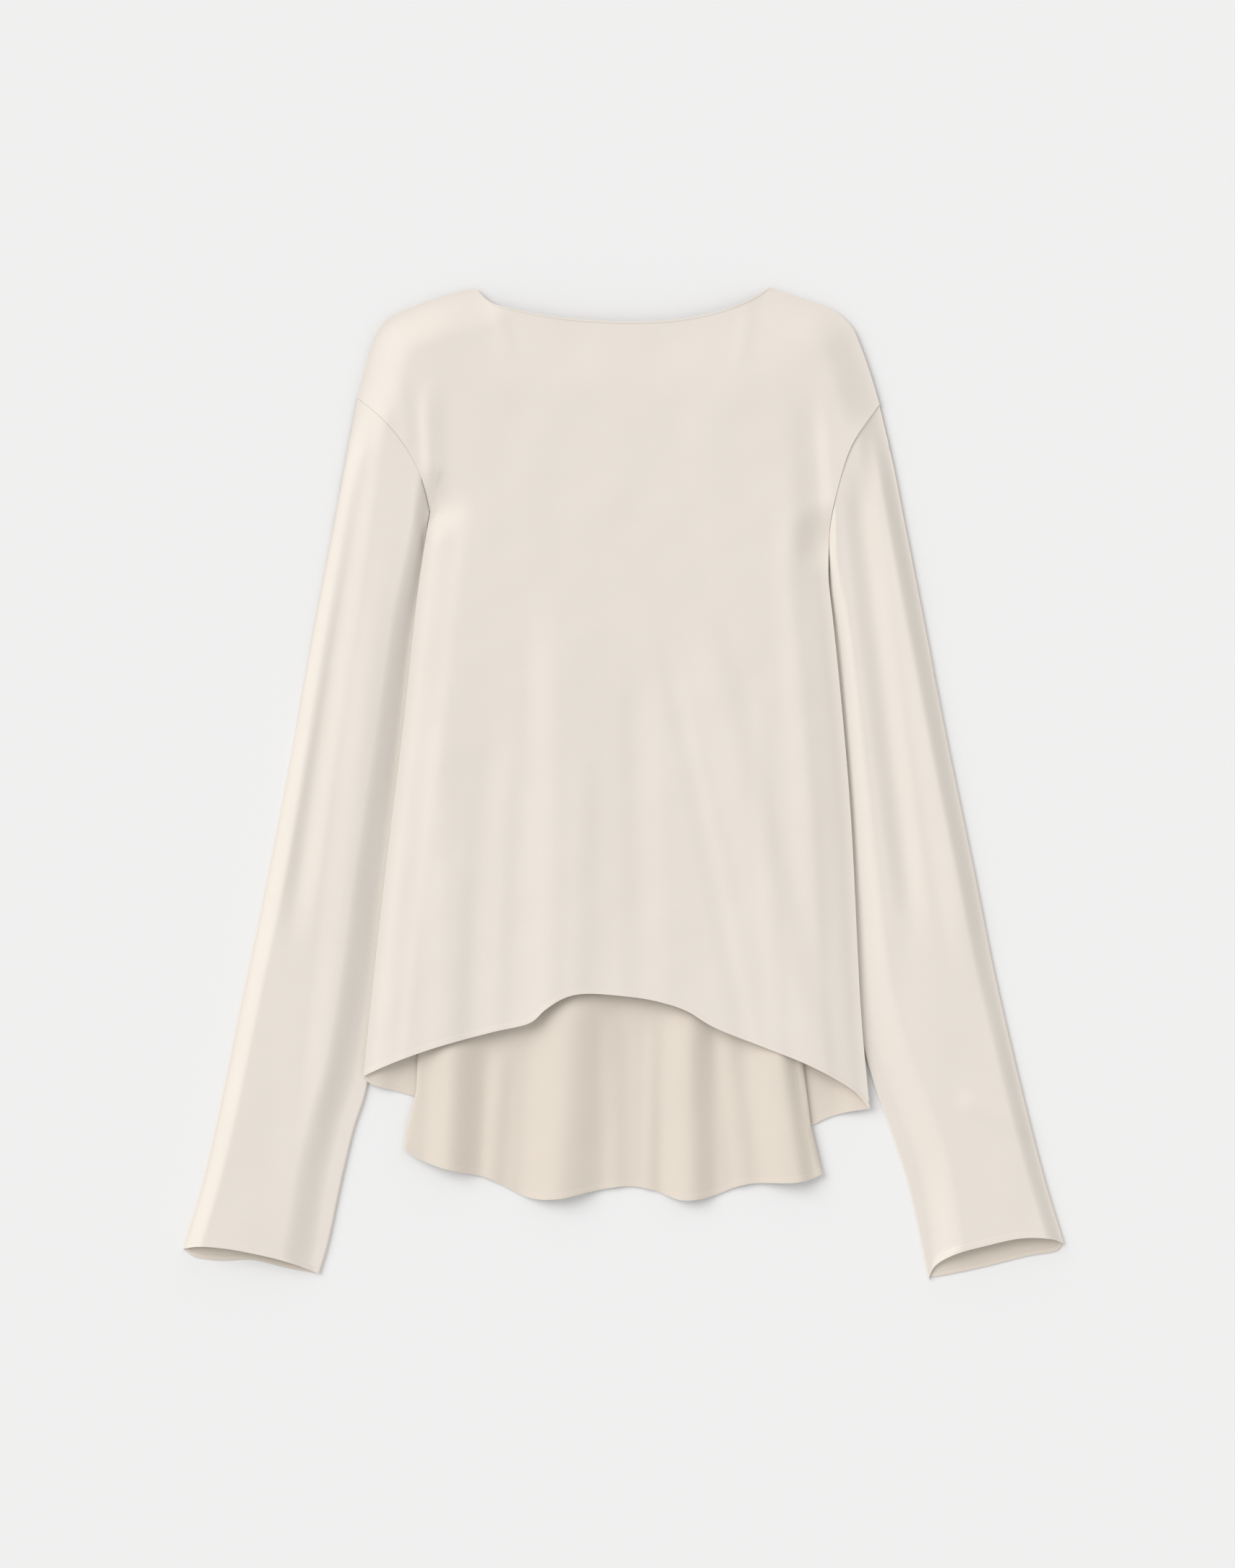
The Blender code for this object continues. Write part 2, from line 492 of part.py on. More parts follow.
def sleeve(side, name):
    """A flattened tube: each ring runs over the upper layer, round the inner edge and back underneath."""
    armhole, outer, inner, upper_cuff, lower_cuff = sleeve_edges(side)
    upper = coons(armhole, upper_cuff, outer, inner)
    lower = coons(armhole, lower_cuff, outer, inner)[:, ::-2]
    top = 2 * WALL + SEAM_GAP + sleeve_lift(side, upper)
    bend = WALL + SEAM_GAP / 2
    faces = []
    for depth in (0.0, WALL):
        radius = bend - depth
        ends = []
        for end, after, signs in ((-1, -2, 1), (0, 1, -1)):
            away = upper[:, end] - upper[:, after]
            away /= np.linalg.norm(away, axis=1)[:, None]
            for angle in BEND_ANGLES[::signs]:
                plan = upper[:, end] + away * radius * np.cos(angle)
                ends.append(np.column_stack([plan, np.full(len(plan), bend + radius * np.sin(angle))]))
        over = np.dstack([upper, top - depth])
        under = np.dstack([lower, np.full(lower.shape[:2], depth)])
        count = len(BEND_ANGLES)
        faces.append(np.hstack([over, np.stack(ends[:count], 1), under, np.stack(ends[count:], 1)]))
    return wall(name, *faces, ring=True)


def main():
    for old in list(bpy.data.objects):
        bpy.data.objects.remove(old, do_unlink=True)
    front()
    back()
    sleeve(-1, "sleeve_left")
    sleeve(1, "sleeve_right")


if __name__ == "__main__":
    main()
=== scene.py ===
"""The looks of a silk blouse laid flat: its cloth with creases, turned edges, stitches, floor and light.

It is laid out as an add-on and run as a script. Tables are in millimetres on the garment's own outlines; a
mesh is turned into metres, about the middle of its box, when it is made.
"""

from collections import namedtuple

import bmesh
import bpy
import numpy as np
from bpy.props import FloatProperty, FloatVectorProperty, PointerProperty
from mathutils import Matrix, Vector


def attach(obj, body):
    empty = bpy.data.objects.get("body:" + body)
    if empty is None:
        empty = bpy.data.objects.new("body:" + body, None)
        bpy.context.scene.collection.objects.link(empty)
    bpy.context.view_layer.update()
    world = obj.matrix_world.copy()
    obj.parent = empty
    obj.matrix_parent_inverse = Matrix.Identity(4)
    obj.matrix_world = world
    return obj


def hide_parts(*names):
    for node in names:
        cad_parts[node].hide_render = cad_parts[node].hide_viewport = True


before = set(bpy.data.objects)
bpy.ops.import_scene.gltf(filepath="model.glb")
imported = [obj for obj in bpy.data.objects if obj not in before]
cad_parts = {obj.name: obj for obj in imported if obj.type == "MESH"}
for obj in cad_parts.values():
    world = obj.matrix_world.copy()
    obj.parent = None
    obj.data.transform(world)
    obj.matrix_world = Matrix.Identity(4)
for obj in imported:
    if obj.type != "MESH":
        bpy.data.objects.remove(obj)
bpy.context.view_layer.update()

bl_info = {
    "name": "Silk blouse",
    "version": (1, 0, 0),
    "blender": (4, 5, 0),
    "location": "View3D > Sidebar > Blouse",
    "description": "Makes a silk blouse laid flat, with its seams, hems, stitches and light",
    "category": "Add Mesh",
}

MM = 0.001
CENTRE = (0.5, -0.6, 0.0)

# How much of the tables' folds is shown: the front's large and small ones, and the tail's.
FRONT_SHARE = 0.62
MORE_FRONT_SHARE = 0.6
TAIL_SHARE = 1.4

# Cloth and the way it lies.
WALL = 1.2  # height that each layer takes up, with the small waves of the cloth
CLOTH = 0.55  # thickness of the cloth itself
SEAM_GAP = 0.08  # between two pieces that are sewn edge to edge, and between a sleeve's pressed layers
LAYER_GAP = 0.8  # between front and back where their edges are sewn one on the other
BODY_HOLLOW = 8.5  # space between front and back in the middle of the body
NECK_DROP = 3.5  # how much of that space is lost at the neck edge
NECK_REACH = 60.0
BODY_SLOPE = 32.0  # width over which the front comes down to its side and shoulder seams
SIDE_RISE = 3.3  # the body's side edges lie this high, on the sleeves
SIDE_SHELF = 9.0  # width that lies on the sleeve
SIDE_SLOPE = 18.0
RISE_START = 26.0  # length below the underarm in which the side edge climbs onto the sleeve
SLEEVE_LIFT = 7.6  # rise of the sleeve's upper layer above its flat edges
OUTER_SLOPE = 15.0
INNER_SLOPE = 26.0
INNER_SHELF = 9.0
SEAM_BLEND = 55.0  # length in which a sleeve takes over the height of the armhole
PLEAT_BEND = 0.9  # radius of a pleat's bends, at the middle of the wall
PLEAT_SETTLE = 38.0  # width in which the tail comes down to the floor beside a pleat

# Fine grids: rows gather at the hems and cuffs, where the turned edge and its stitches are.
EDGE_STEPS = np.arange(0.0, 6.1, 0.55)
SIDE_SHARES = np.concatenate([EDGE_STEPS / 430.0, np.linspace(0.018, 1.0, 135)])
ARMHOLE_SHARES = np.concatenate([np.linspace(0.0, 0.93, 32), 1.0 - np.arange(0.054, -0.001, -0.006)])
SLEEVE_SHARES = np.concatenate([np.linspace(0.0, 0.985, 140), 1.0 - EDGE_STEPS[::-1] / 660.0])
SHOULDER_COLUMNS = 22
NECK_COLUMNS = 92
BACK_SIDE_COLUMNS = 14
PLEAT_COLUMNS = (8, 5, 8)
TAIL_COLUMNS = 104
BEND_ANGLES = tuple(np.radians((60.0, 30.0, 0.0, -30.0, -60.0)))

# Outlines, each a list of (x, y) that a smooth curve runs through.
NECK_LEFT = (-111.7, 375.6)
NECK_RIGHT = (111.7, 376.5)
FRONT_NECK = (NECK_LEFT, (-99.6, 364.4), (-77.6, 358.3), (-44.6, 352.8), (-0.6, 350.1), (40.7, 351.7),
              (76.5, 358.9), (99.6, 368.2), NECK_RIGHT)
BACK_NECK_BELOW = 4.0  # the back's neck edge lies this much below the front's
SHOULDER_LEFT = ((-201.9, 292.9), (-196.4, 313.2), (-189.8, 335.8), (-179.9, 351.2), (-152.4, 364.4),
                 (-132.6, 371.0), NECK_LEFT)
SHOULDER_RIGHT = ((195.3, 287.4), (188.7, 309.4), (181.0, 331.4), (173.8, 346.8), (158.4, 360.0),
                  (133.1, 368.8), NECK_RIGHT)
ARMHOLE_LEFT = ((-146.3, 206.0), (-152.4, 230.2), (-164.5, 254.4), (-181.0, 274.7), (-201.9, 292.9))
ARMHOLE_RIGHT = ((156.8, 182.9), (157.9, 198.3), (164.5, 228.5), (174.5, 257.0), (195.3, 287.4))
SIDE_LEFT = ((-196.9, -223.0), (-192.0, -174.6), (-179.9, -65.2), (-166.7, 42.6), (-155.1, 148.2),
             (-146.3, 206.0))
SIDE_RIGHT = ((187.6, -247.8), (184.8, -218.6), (181.0, -174.6), (173.2, -24.5), (166.7, 54.2),
              (159.5, 125.7), (156.4, 155.4), (156.8, 182.9))
FRONT_HEM = ((-196.9, -223.0), (-176.6, -213.7), (-143.6, -201.6), (-99.6, -189.5), (-69.3, -181.8),
             (-59.0, -172.6), (-44.6, -163.6), (-30.8, -160.3), (0.6, -162.0), (25.3, -165.8), (47.9, -173.0),
             (68.2, -185.1), (110.6, -202.1), (137.0, -212.6), (157.9, -223.0), (176.6, -235.1),
             (187.6, -247.8))
SLEEVE_LEFT_OUTER = ((-201.9, 292.9), (-211.8, 243.4), (-220.0, 199.4), (-237.1, 111.4), (-253.0, 23.4),
                     (-269.5, -64.6), (-288.8, -158.1), (-317.9, -295.6), (-335.0, -354.5))
SLEEVE_RIGHT_OUTER = ((195.3, 287.4), (205.7, 243.4), (214.5, 199.4), (232.1, 111.4), (249.2, 23.4),
                      (267.3, -64.6), (284.9, -152.6), (319.6, -295.6), (336.1, -350.6))
SLEEVE_LEFT_INNER = ((-146.3, 206.0), (-149.4, 184.0), (-150.2, 168.0), (-152.5, 145.0), (-157.2, 100.0),
                     (-166.6, 1.0), (-176.6, -86.6), (-184.3, -163.6), (-195.3, -235.1), (-204.1, -262.6),
                     (-213.4, -301.1), (-223.9, -350.6), (-230.5, -373.2))
SLEEVE_RIGHT_INNER = ((156.8, 182.9), (156.4, 160.0), (156.2, 143.0), (157.4, 125.0), (160.3, 100.0),
                      (163.5, 54.0), (167.5, -9.6), (173.2, -108.6), (181.0, -191.1), (190.9, -229.6),
                      (203.0, -262.6), (215.6, -301.1), (224.4, -339.6), (231.6, -376.5))
# Cuff edges run from the sleeve's outer edge to its inner one.
CUFF_LEFT_UPPER = ((-335.0, -354.5), (-322.9, -352.3), (-303.6, -353.4), (-283.8, -356.7), (-254.1, -363.8),
                   (-230.5, -373.2))
CUFF_LEFT_LOWER = ((-335.0, -354.5), (-328.4, -360.0), (-318.5, -362.2), (-303.6, -363.3), (-283.8, -362.7),
                   (-253.6, -369.3), (-230.5, -373.2))
CUFF_RIGHT_UPPER = ((336.1, -350.6), (327.2, -346.8), (304.2, -345.7), (276.7, -351.2), (249.7, -358.9),
                    (236.0, -368.0), (231.6, -376.5))
CUFF_RIGHT_LOWER = ((336.1, -350.6), (331.7, -355.6), (308.6, -360.0), (272.2, -368.8), (244.8, -374.3),
                    (231.6, -376.5))

# The pleat at each side of the tail, from where it starts under the front down to the hem: its outer edge,
# the cloth in each of its two bends, the cloth that lies folded back between them, and its turn, which is 0
# where the cloth is flat and 1 where it is folded right back.
FULL_BEND = np.pi * PLEAT_BEND
Pleat = namedtuple("Pleat", "y edge_x bend overlap turn")
PLEAT_LEFT = (Pleat(-40.0, -128.0, 10.0, 9.0, 0.0), Pleat(-108.0, -151.0, FULL_BEND, 0.8, 0.0),
              Pleat(-130.0, -152.0, FULL_BEND, 0.8, 1.0), Pleat(-208.0, -156.2, FULL_BEND, 10.0, 1.0),
              Pleat(-234.0, -157.0, FULL_BEND, 15.0, 1.0), Pleat(-264.0, -165.0, FULL_BEND, 20.0, 1.0),
              Pleat(-290.0, -169.0, FULL_BEND, 22.0, 1.0))
PLEAT_RIGHT = (Pleat(-40.0, 112.0, 10.0, 9.0, 0.0), Pleat(-108.0, 132.0, FULL_BEND, 0.8, 0.0),
               Pleat(-130.0, 133.0, FULL_BEND, 0.8, 1.0), Pleat(-213.0, 137.5, FULL_BEND, 10.0, 1.0),
               Pleat(-261.5, 143.5, FULL_BEND, 18.0, 1.0), Pleat(-298.0, 152.3, FULL_BEND, 22.0, 1.0))

# The back's hem, from its left corner to its right one. Layer "side" lies on the floor at the sides, "under"
# is folded back inside a pleat and "tail" is on top.
HemPoint = namedtuple("HemPoint", "x y layer")
BACK_HEM = (HemPoint(-196.9, -223.4, "side"), HemPoint(-193.1, -228.5, "side"),
            HemPoint(-184.3, -231.8, "side"), HemPoint(-160.1, -238.4, "side"),
            HemPoint(-147.0, -243.5, "side"), HemPoint(-147.0, -259.0, "under"),
            HemPoint(-159.0, -271.5, "under"), HemPoint(-158.4, -284.6, "tail"),
            HemPoint(-143.0, -291.2, "tail"), HemPoint(-124.9, -296.0, "tail"),
            HemPoint(-102.9, -301.1, "tail"), HemPoint(-71.0, -316.0, "tail"),
            HemPoint(-50.0, -316.6, "tail"), HemPoint(-22.6, -311.0, "tail"),
            HemPoint(5.0, -307.4, "tail"), HemPoint(23.7, -310.5, "tail"), HemPoint(44.0, -317.6, "tail"),
            HemPoint(66.0, -315.4, "tail"), HemPoint(93.0, -306.1, "tail"),
            HemPoint(132.6, -303.9, "tail"), HemPoint(148.0, -299.8, "tail"),
            HemPoint(140.0, -290.0, "under"), HemPoint(130.0, -277.0, "under"),
            HemPoint(132.0, -266.0, "side"), HemPoint(143.0, -261.5, "side"),
            HemPoint(155.7, -255.5, "side"), HemPoint(170.0, -251.1, "side"),
            HemPoint(187.6, -248.2, "side"))

# Soft ridges (height above 0) and troughs (below 0): a straight run with its width to each side.
Fold = namedtuple("Fold", "x_start y_start x_end y_end left right height")
FRONT_FOLDS = (Fold(-50.0, 120.0, -52.0, -165.0, 24.0, 46.0, 4.2),
               Fold(62.0, 120.0, 140.0, -180.0, 26.0, 20.0, 2.6),
               Fold(-137.0, 60.0, -132.0, -210.0, 22.0, 24.0, 2.6),
               Fold(-100.0, 40.0, -116.0, -200.0, 16.0, 20.0, -1.8),
               Fold(10.0, 90.0, 14.0, -168.0, 18.0, 22.0, -2.0),
               Fold(-145.0, 300.0, -142.0, 190.0, 12.0, 12.0, 2.2),
               Fold(143.0, 290.0, 153.0, 150.0, 22.0, 12.0, -3.6),
               Fold(128.0, 230.0, 146.0, -80.0, 20.0, 24.0, 2.6))
TAIL_FOLDS = (Fold(-127.0, -190.0, -131.0, -296.0, 22.0, 26.0, 5.0),
              Fold(-38.0, -150.0, -48.0, -317.0, 34.0, 38.0, 6.5),
              Fold(50.0, -170.0, 52.0, -318.0, 26.0, 22.0, 5.0),
              Fold(116.0, -190.0, 134.0, -304.0, 30.0, 14.0, 4.2))
LEFT_SLEEVE_FOLDS = (Fold(-208.0, 262.0, -268.0, -60.0, 10.0, 14.0, 2.4),
                     Fold(-196.0, 262.0, -243.0, -60.0, 13.0, 16.0, -3.0),
                     Fold(-184.0, 150.0, -226.0, -220.0, 18.0, 18.0, 1.6))
RIGHT_SLEEVE_FOLDS = (Fold(177.0, 235.0, 214.0, -60.0, 15.0, 15.0, -3.0),
                      Fold(204.0, 225.0, 256.0, -90.0, 18.0, 20.0, 2.2),
                      Fold(258.0, -240.0, 302.0, -262.0, 12.0, 12.0, 1.4))


def smooth(value):
    """0 to 1 with level ends."""
    part = np.clip(value, 0.0, 1.0)
    return part * part * (3.0 - 2.0 * part)


class Curve:
    """A smooth curve through a few points, read at shares of its length."""

    STEPS = 24

    def __init__(self, points):
        given = np.array(points, float)
        ends = np.vstack([2 * given[0] - given[1], given, 2 * given[-1] - given[-2]])
        runs = [self.run(*ends[i:i + 4]) for i in range(len(given) - 1)]
        self.points = np.vstack([*runs, given[-1:]])
        steps = np.linalg.norm(np.diff(self.points, axis=0), axis=1)
        self.reach = np.concatenate([[0.0], np.cumsum(steps)])
        self.length = self.reach[-1]
        self.shares = self.reach / self.length

    def run(self, before, start, end, after):
        """One centripetal Catmull-Rom run from start to end, without its last point."""
        knots = np.cumsum([0.0] + [np.sqrt(np.linalg.norm(b - a)) for a, b in
                                   ((before, start), (start, end), (end, after))])
        time = np.linspace(knots[1], knots[2], self.STEPS, endpoint=False)[:, None]

        def mix(a, b, i, j):
            return ((knots[j] - time) * a + (time - knots[i]) * b) / (knots[j] - knots[i])

        first = mix(before, start, 0, 1)
        middle = mix(start, end, 1, 2)
        last = mix(end, after, 2, 3)
        return mix(mix(first, middle, 0, 2), mix(middle, last, 1, 3), 1, 2)

    def at(self, share):
        """Points at one or many shares of the length."""
        return np.stack([np.interp(share, self.shares, self.points[:, k]) for k in (0, 1)], -1)

    def x_at(self, y):
        """The curve's x at a height y; the curve must climb or fall all the way."""
        order = np.argsort(self.points[:, 1])
        return np.interp(y, self.points[order, 1], self.points[order, 0])

    def distance(self, plan):
        """Distance in plan from each point to the curve."""
        starts = self.points[:-1:3]
        runs = np.vstack([self.points[3:-1:3], self.points[-1:]]) - starts
        nearest = np.full(plan.shape[:-1], 1e9)
        for start, run in zip(starts, runs):
            share = np.clip((plan - start) @ run / (run @ run), 0.0, 1.0)
            nearest = np.minimum(nearest, np.linalg.norm(plan - start - share[..., None] * run, axis=-1))
        return nearest


NECK = Curve(FRONT_NECK)
SHOULDERS = {-1: Curve(SHOULDER_LEFT), 1: Curve(SHOULDER_RIGHT)}
ARMHOLES = {-1: Curve(ARMHOLE_LEFT), 1: Curve(ARMHOLE_RIGHT)}
SIDES = {-1: Curve(SIDE_LEFT), 1: Curve(SIDE_RIGHT)}
UNDERARM_Y = {-1: ARMHOLE_LEFT[0][1], 1: ARMHOLE_RIGHT[0][1]}
PLEATS = {-1: PLEAT_LEFT, 1: PLEAT_RIGHT}


# ---------------------------------------------------------------- heights

def fold_height(plan, folds):
    """Sum of the ridges and troughs at each point of the plan."""
    total = np.zeros(plan.shape[:-1])
    for fold in folds:
        start = np.array([fold.x_start, fold.y_start])
        run = np.array([fold.x_end, fold.y_end]) - start
        along = (plan - start) @ run / (run @ run)
        across = (plan[..., 0] - start[0]) * -run[1] + (plan[..., 1] - start[1]) * run[0]
        across = across / np.linalg.norm(run)
        width = np.where(across < 0, fold.left, fold.right)
        profile = smooth(1.0 - np.abs(across) / width)
        fade = smooth((along + 0.12) / 0.3) * smooth((1.25 - along) / 0.25)
        total += fold.height * profile * fade
    return total


def side_rise(plan):
    """Height of the body's edges where they lie on the sleeves."""
    rise = np.zeros(plan.shape[:-1])
    for side, edge in SIDES.items():
        inside = side * (edge.x_at(plan[..., 1]) - plan[..., 0])
        shelf = 1.0 - smooth((inside - SIDE_SHELF) / SIDE_SLOPE)
        rise += SIDE_RISE * shelf * smooth((UNDERARM_Y[side] - plan[..., 1]) / RISE_START)
    return rise


def front_underside(plan):
    """Height of the front's lower face."""
    seams = [curve.distance(plan) for curve in (*SHOULDERS.values(), *SIDES.values())]
    open_share = smooth(np.min(seams, axis=0) / BODY_SLOPE)
    hollow = BODY_HOLLOW - NECK_DROP * (1.0 - smooth(NECK.distance(plan) / NECK_REACH))
    folds = FRONT_SHARE * fold_height(plan, FRONT_FOLDS)
    return WALL + side_rise(plan) + LAYER_GAP + open_share * (hollow + folds)


# ---------------------------------------------------------------- plans

def coons(bottom, top, left, right):
    """A grid of plan points between four edges, rows from bottom to top and columns from left to right."""
    reach = np.concatenate([[0.0], np.cumsum(np.linalg.norm(np.diff(left, axis=0), axis=1))])
    rows = (reach / reach[-1])[:, None, None]
    columns = np.linspace(0.0, 1.0, len(bottom))[None, :, None]
    between_sides = (1 - columns) * left[:, None] + columns * right[:, None]
    between_ends = (1 - rows) * bottom[None] + rows * top[None]
    corners = ((1 - rows) * ((1 - columns) * bottom[0] + columns * bottom[-1])
               + rows * ((1 - columns) * top[0] + columns * top[-1]))
    return between_sides + between_ends - corners


def pinned(points, start, end):
    """The points with their ends moved to start and end, and the rest moved along with them."""
    share = np.linspace(0.0, 1.0, len(points))[:, None]
    return points + (1 - share) * (start - points[0]) + share * (end - points[-1])


def armhole_edge(side, outwards):
    """Points of an armhole from the underarm to the shoulder, moved towards the sleeve by outwards."""
    points = ARMHOLES[side].at(ARMHOLE_SHARES)
    run = np.gradient(points, axis=0)
    run /= np.linalg.norm(run, axis=1)[:, None]
    return points + side * outwards * np.stack([run[:, 1], -run[:, 0]], -1)


def side_and_armhole(side):
    """One edge of a body panel, from its hem corner up to the shoulder."""
    lower = SIDES[side].at(SIDE_SHARES)
    return np.vstack([lower, armhole_edge(side, -SEAM_GAP / 2)[1:]])


def shoulders_and_neck(neck_below, left_end, right_end):
    """The top edge of a body panel, from the left shoulder to the right one."""
    shares = np.linspace(0.0, 1.0, SHOULDER_COLUMNS + 1)
    neck = NECK.at(np.linspace(0.0, 1.0, NECK_COLUMNS + 1))
    neck[:, 1] -= neck_below * smooth((NECK_RIGHT[0] - np.abs(neck[:, 0])) / 12.0)
    left = SHOULDERS[-1].at(shares)
    right = SHOULDERS[1].at(shares)
    left = pinned(left, left_end, left[-1])
    right = pinned(right, right_end, right[-1])
    return np.vstack([left[:-1], neck, right[-2::-1]])


def front_plan():
    left = side_and_armhole(-1)
    right = side_and_armhole(1)
    top = shoulders_and_neck(0.0, left[-1], right[-1])
    bottom = pinned(Curve(FRONT_HEM).at(np.linspace(0.0, 1.0, len(top))), left[0], right[0])
    return coons(bottom, top, left, right)


# ---------------------------------------------------------------- pleats

def pleat_values(side, y):
    """Edge, bend, overlap and turn angle of a pleat at each height, with the edge measured outwards."""
    table = sorted(PLEATS[side])
    heights = [row.y for row in table]
    edge, bend, overlap, turn = (np.interp(y, heights, [getattr(row, name) for row in table])
                                 for name in ("edge_x", "bend", "overlap", "turn"))
    return side * edge, bend, overlap, np.maximum(np.pi * smooth(turn), 1e-3)


def pleat_shift(side, y):
    """How much further out the flat cloth's side lies than the pleated one's."""
    _, bend, overlap, turn = pleat_values(side, y)
    radius = bend / turn
    return 2 * bend + overlap - 2 * radius * np.sin(turn) - overlap * np.cos(turn)


def pleated(side, cloth, y):
    """Where the flat cloth goes: its distance outwards, its height and its slope, all at the wall's middle.

    Outwards from the tail the cloth turns down and back at the pleat's outer edge, runs back under the tail,
    and turns outwards again on the floor. The tail settles on the floor beside the pleat.
    """
    edge, bend, overlap, turn = pleat_values(side, y)
    radius = bend / turn
    start = edge - bend / 2
    travel = np.maximum(cloth - start, 0.0)
    first = turn * np.minimum(travel, bend) / bend
    middle = np.clip(travel - bend, 0.0, overlap)
    second = turn * np.clip(travel - bend - overlap, 0.0, bend) / bend
    beyond = np.maximum(travel - 2 * bend - overlap, 0.0)
    back = turn - second
    outwards = (np.minimum(cloth, start) + radius * np.sin(first) + middle * np.cos(turn)
                + radius * (np.sin(turn) - np.sin(back)) + beyond)
    drop = radius * (1 - np.cos(first)) + middle * np.sin(turn) + radius * (np.cos(back) - np.cos(turn))
    whole = 2 * radius * (1 - np.cos(turn)) + overlap * np.sin(turn)
    on_tail = cloth <= start
    settled = smooth((start - overlap - PLEAT_BEND - 2.0 - cloth) / PLEAT_SETTLE)
    height = np.where(on_tail, whole * (1 - settled), whole - drop)
    slope = np.where(travel < bend, -first, -back)
    return outwards, height, slope, on_tail


def on_flat_cloth(point):
    """A hem point moved to where it is on the flat cloth."""
    side = np.sign(point.x)
    if point.layer == "side":
        return point.x + side * pleat_shift(side, point.y), point.y
    if point.layer == "under":
        edge = pleat_values(side, point.y)[0]
        return 2 * side * edge - point.x, point.y
    return point.x, point.y


def pleat_knots(side, y):
    """Cloth positions of a pleat's bends and ends, measured outwards."""
    edge, bend, overlap, _ = pleat_values(side, y)
    start = edge - bend / 2
    return [start, start + bend, start + bend + overlap, start + 2 * bend + overlap]


def spread(row):
    """One row of the flat back, with its columns gathered at the bends of the pleats."""
    left = [-knot for knot in reversed(pleat_knots(-1, row[:, 1]))]
    right = pleat_knots(1, row[:, 1])
    places = np.arange(len(row), dtype=float)
    crossings = [np.interp(0.0, row[:, 0] - knot, places) for knot in left + right]
    knots = np.concatenate([[0.0], crossings, [len(row) - 1.0]])
    counts = [BACK_SIDE_COLUMNS, *PLEAT_COLUMNS, TAIL_COLUMNS, *PLEAT_COLUMNS, BACK_SIDE_COLUMNS]
    stops = [np.linspace(a, b, count, endpoint=False) for a, b, count in zip(knots, knots[1:], counts)]
    stops = np.concatenate([*stops, knots[-1:]])
    return np.stack([np.interp(stops, places, row[:, k]) for k in (0, 1)], -1)


def back_plan():
    """The back on the flat cloth, without its pleats."""
    left = side_and_armhole(-1)
    right = side_and_armhole(1)
    top = shoulders_and_neck(BACK_NECK_BELOW, left[-1], right[-1])
    left[:, 0] -= pleat_shift(-1, left[:, 1])
    right[:, 0] += pleat_shift(1, right[:, 1])
    fine = np.linspace(0.0, 1.0, 12 * len(top) + 1)
    bottom = pinned(Curve([on_flat_cloth(point) for point in BACK_HEM]).at(fine), left[0], right[0])
    corners = np.linspace(0.0, 1.0, len(top))
    top = np.stack([np.interp(fine, corners, top[:, k]) for k in (0, 1)], -1)
    return np.array([spread(row) for row in coons(bottom, top, left, right)])


# ---------------------------------------------------------------- sleeve shape

def sleeve_edges(side):
    """The four edges of a sleeve's plan, armhole first, with the cuff's upper and lower edges."""
    bend = WALL + SEAM_GAP / 2
    outer = Curve(SLEEVE_LEFT_OUTER if side < 0 else SLEEVE_RIGHT_OUTER).at(SLEEVE_SHARES)
    inner = Curve(SLEEVE_LEFT_INNER if side < 0 else SLEEVE_RIGHT_INNER).at(SLEEVE_SHARES)
    outer[:, 0] -= side * bend
    inner[:, 0] += side * bend
    armhole = armhole_edge(side, SEAM_GAP / 2)[::-1]
    halves = (armhole[1:] + armhole[:-1]) / 2
    armhole = np.vstack([np.dstack([armhole[:-1], halves]).transpose(0, 2, 1).reshape(-1, 2), armhole[-1:]])
    for end, after in ((0, 1), (-1, -2)):
        run = armhole[after] - armhole[end]
        armhole[end] += run / np.linalg.norm(run) * (bend + SEAM_GAP)
    cuffs = (CUFF_LEFT_UPPER, CUFF_LEFT_LOWER) if side < 0 else (CUFF_RIGHT_UPPER, CUFF_RIGHT_LOWER)
    shares = np.linspace(0.0, 1.0, len(armhole))
    upper, lower = (pinned(Curve(cuff).at(shares), outer[-1], inner[-1]) for cuff in cuffs)
    return armhole, pinned(outer, armhole[0], outer[-1]), pinned(inner, armhole[-1], inner[-1]), upper, lower


def sleeve_lift(side, plan):
    """Rise of the upper layer above the height of the sleeve's flat edges."""
    width = np.linalg.norm(plan - plan[:, :1], axis=-1)
    from_inner = width[:, -1:] - width
    along = np.linalg.norm(plan - plan[:1], axis=-1)
    share = np.linspace(0.0, 1.0, len(plan))[:, None] * np.ones_like(width)
    shelf = INNER_SHELF * smooth(np.interp(share, (0.0, 0.2, 0.8, 1.0), (0.0, 1.0, 1.0, 0.25)))
    profile = smooth(width / OUTER_SLOPE) * smooth((from_inner - shelf) / INNER_SLOPE)
    folds = fold_height(plan, LEFT_SLEEVE_FOLDS if side < 0 else RIGHT_SLEEVE_FOLDS)
    free = profile * (SLEEVE_LIFT + folds)
    seam_points = plan[0, ::2]
    seam = np.interp(np.arange(plan.shape[1]) / 2, np.arange(len(seam_points)), front_underside(seam_points))
    at_seam = seam - (WALL + LAYER_GAP)
    at_seam[[0, -1]] = 0.0
    taken_over = smooth(along / SEAM_BLEND)
    return (1 - taken_over) * at_seam + taken_over * free



# ---------------------------------------------------------------- fine relief

HEM_WIDTH = 4.0
HEM_HEIGHT = 0.35
STITCH_LINE = 3.3
CRUMPLES = 26
CRUMPLE_LENGTHS = (26.0, 95.0)
CRUMPLE_TURN = 0.55
CRUMPLE_PHASES = (0, 6.3)
CRUMPLE_HEIGHT = 0.0007  # of each wave, for each millimetre of its length


